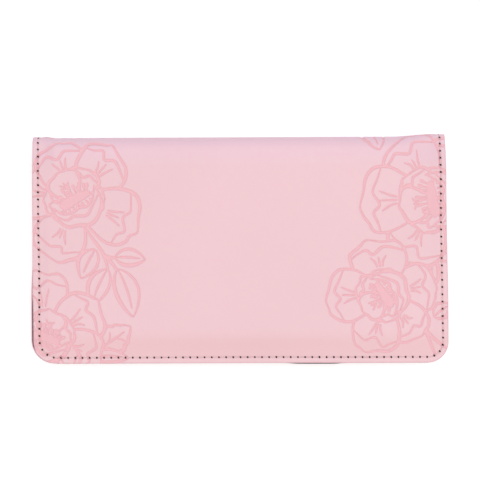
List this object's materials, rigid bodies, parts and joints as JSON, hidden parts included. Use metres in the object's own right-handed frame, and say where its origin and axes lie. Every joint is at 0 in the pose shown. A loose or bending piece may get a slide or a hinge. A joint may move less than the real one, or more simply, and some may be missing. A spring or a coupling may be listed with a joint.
{
  "type": "passport and document wallet",
  "caption": "Slim wallet for a passport and cards that folds along its long top edge, in pale pink leathercloth with debossed flowers and a sewn edge.",
  "frame": {"origin": "middle of the back face, which lies on the table", "axes": "+X along the fold to the right seen from the front, +Y towards the fold, +Z out of the front face"},
  "size_m": [0.172, 0.0935, 0.0104],
  "materials": {
    "embossed_leathercloth": "satin, fine grain, debossed floral line work",
    "lining_cloth": "matte charcoal lining",
    "stiffener_board": "matte greyboard",
    "spine_tape": "matte woven tape",
    "pocket_leathercloth": "satin, fine grain",
    "window_film": "clear, glossy flexible film",
    "sewing_thread": "matte twisted polyester thread"
  },
  "bodies": {
    "back_cover": {"back_outer_skin": "embossed_leathercloth", "back_board": "stiffener_board", "back_lining": "lining_cloth", "passport_pocket": "pocket_leathercloth", "passport_pocket_stitching": "sewing_thread", "back_edge_stitching": "sewing_thread"},
    "spine": {"spine_outer_skin": "embossed_leathercloth", "spine_tape": "spine_tape", "spine_lining": "lining_cloth", "spine_end_stitching": "sewing_thread"},
    "front_cover": {"front_outer_skin": "embossed_leathercloth", "front_board": "stiffener_board", "front_lining": "lining_cloth", "document_pocket": "pocket_leathercloth", "document_pocket_stitching": "sewing_thread", "upper_card_slot": "pocket_leathercloth", "middle_card_slot": "pocket_leathercloth", "lower_card_slot": "pocket_leathercloth", "card_slot_stitching": "sewing_thread", "id_window_frame": "pocket_leathercloth", "id_window_film": "window_film", "id_window_stitching": "sewing_thread", "front_edge_stitching": "sewing_thread"}
  },
  "joints": [
    {"name": "spine_fold", "type": "hinge", "parent": "back_cover", "child": "spine", "pos_m": [0, 0.04563, 0.00112], "axis": [-1, 0, 0], "range_deg": [0, 90]},
    {"name": "cover_fold", "type": "hinge", "parent": "spine", "child": "front_cover", "pos_m": [0, 0.04563, 0.00928], "axis": [-1, 0, 0], "range_deg": [0, 90]}
  ],
  "couplings": [
    {"joint": "cover_fold", "follows": "spine_fold", "ratio": 1}
  ]
}
